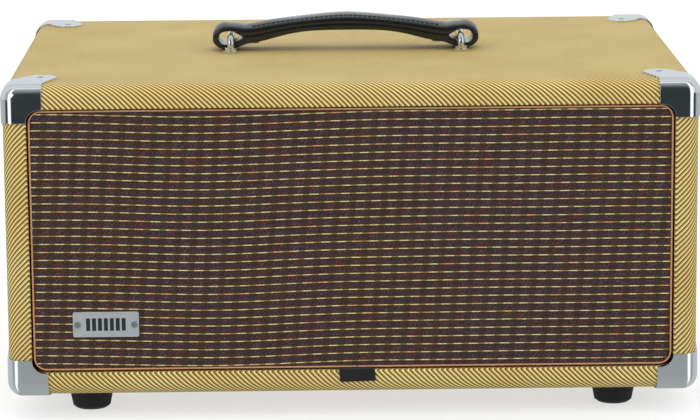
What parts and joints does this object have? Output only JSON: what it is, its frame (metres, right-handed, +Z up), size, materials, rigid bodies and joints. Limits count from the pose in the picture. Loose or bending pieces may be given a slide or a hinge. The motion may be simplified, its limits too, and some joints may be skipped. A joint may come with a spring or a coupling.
{
  "type": "guitar amplifier",
  "caption": "Valve guitar amplifier head in a striped tweed cabinet with chrome corners, leather strap handle and a pull-off woven grille cover over its control panel",
  "frame": {"origin": "under the middle of the cabinet, on the surface the rubber feet stand on", "axes": "+X to the right seen from the front, +Y from the front to the back, +Z up"},
  "size_m": [0.5746, 0.413, 0.3122],
  "materials": {
    "plywood": "raw birch plywood",
    "black_lacquer": "satin black lacquer",
    "tweed": "lacquered diagonal tweed",
    "back_tweed": "lacquered diagonal tweed on a plywood core",
    "chrome": "polished",
    "screw_steel": "nickel plated",
    "rubber": "moulded, matt",
    "leather": "black, lightly glazed",
    "spring_steel": "blued",
    "grille_cloth": "woven, with gold thread",
    "piping": "woven cord covering",
    "badge_silver": "brushed",
    "webbing": "woven nylon",
    "hook_tape": "hook and loop",
    "zinc_steel": "zinc plated",
    "panel_enamel": "satin black enamel",
    "transformer_enamel": "gloss black enamel",
    "valve_glass": "clear",
    "bakelite": "polished",
    "board_green": "solder resist",
    "can_aluminium": "drawn",
    "nickel": "nickel plated",
    "jewel_red": "faceted jewel"
  },
  "bodies": {
    "cabinet": {"back_panel": "back_tweed", "back_panel_screws": "screw_steel", "bottom_board": "plywood", "chassis_tray": "zinc_steel", "circuit_board": "board_green", "corner_screws": "screw_steel", "filter_capacitors": "can_aluminium", "filter_choke": "transformer_enamel", "foot_screws": "screw_steel", "front_corners": "chrome", "front_frame": "black_lacquer", "front_panel": "panel_enamel", "fuse_holder": "bakelite", "handle_staples": "chrome", "jack_sockets": "nickel", "left_board": "plywood", "loop_pads": "hook_tape", "mains_inlet": "bakelite", "output_transformer": "transformer_enamel", "pilot_bezel": "nickel", "pilot_jewel": "jewel_red", "potentiometers": "can_aluminium", "power_sockets": "bakelite", "power_transformer": "transformer_enamel", "power_valves": "valve_glass", "preamp_sockets": "bakelite", "preamp_valves": "valve_glass", "rack_rails": "zinc_steel", "rack_screws": "screw_steel", "rail_battens": "plywood", "rail_screws": "screw_steel", "rear_corners": "chrome", "right_board": "plywood", "rubber_feet": "rubber", "staple_ferrules": "chrome", "staple_nuts": "screw_steel", "toggle_bodies": "nickel", "top_board": "plywood", "tweed_covering": "tweed", "vent_guard": "panel_enamel"},
    "grille_cover": {"grille_panel": "plywood", "grille_cloth": "grille_cloth", "grille_piping": "piping", "badge_plate": "badge_silver", "badge_screws": "screw_steel", "tab_root": "webbing", "hook_pads": "hook_tape"},
    "tab": {"pull_tab": "webbing"},
    "handle": {"handle_strap": "leather", "handle_spring": "spring_steel", "handle_rivets": "screw_steel"},
    "standby_switch": {"standby_toggle": "nickel"},
    "power_switch": {"power_toggle": "nickel"},
    "fuse": {"fuse_tube": "valve_glass", "fuse_cap": "bakelite"},
    "volume_control": {"volume_knob": "bakelite"},
    "treble_control": {"treble_knob": "bakelite"},
    "bass_control": {"bass_knob": "bakelite"},
    "presence_control": {"presence_knob": "bakelite"},
    "master_control": {"master_knob": "bakelite"}
  },
  "joints": [
    {"name": "cover_pull", "type": "slide", "parent": "cabinet", "child": "grille_cover", "axis": [0, -1, 0], "range_m": [0, 0.08]},
    {"name": "tab_lift", "type": "hinge", "parent": "grille_cover", "child": "tab", "pos_m": [0.003, -0.20535, 0.04045], "axis": [-1, 0, 0], "range_deg": [0, 90]},
    {"name": "handle_lift", "type": "slide", "parent": "cabinet", "child": "handle", "axis": [0, 0, 1], "range_m": [0, 0.0028]},
    {"name": "volume_turn", "type": "hinge", "parent": "cabinet", "child": "volume_control", "pos_m": [-0.12, -0.18, 0.095], "axis": [0, 1, 0], "range_deg": [-150, 150]},
    {"name": "treble_turn", "type": "hinge", "parent": "cabinet", "child": "treble_control", "pos_m": [-0.06, -0.18, 0.095], "axis": [0, 1, 0], "range_deg": [-150, 150]},
    {"name": "bass_turn", "type": "hinge", "parent": "cabinet", "child": "bass_control", "pos_m": [0, -0.18, 0.095], "axis": [0, 1, 0], "range_deg": [-150, 150]},
    {"name": "presence_turn", "type": "hinge", "parent": "cabinet", "child": "presence_control", "pos_m": [0.06, -0.18, 0.095], "axis": [0, 1, 0], "range_deg": [-150, 150]},
    {"name": "master_turn", "type": "hinge", "parent": "cabinet", "child": "master_control", "pos_m": [0.12, -0.18, 0.095], "axis": [0, 1, 0], "range_deg": [-150, 150]},
    {"name": "standby_throw", "type": "hinge", "parent": "cabinet", "child": "standby_switch", "pos_m": [0.182, -0.171, 0.095], "axis": [-1, 0, 0], "range_deg": [0, 24]},
    {"name": "power_throw", "type": "hinge", "parent": "cabinet", "child": "power_switch", "pos_m": [0.203, -0.171, 0.095], "axis": [-1, 0, 0], "range_deg": [0, 24]},
    {"name": "fuse_draw", "type": "slide", "parent": "cabinet", "child": "fuse", "axis": [0, 1, 0], "range_m": [0, 0.03]}
  ]
}
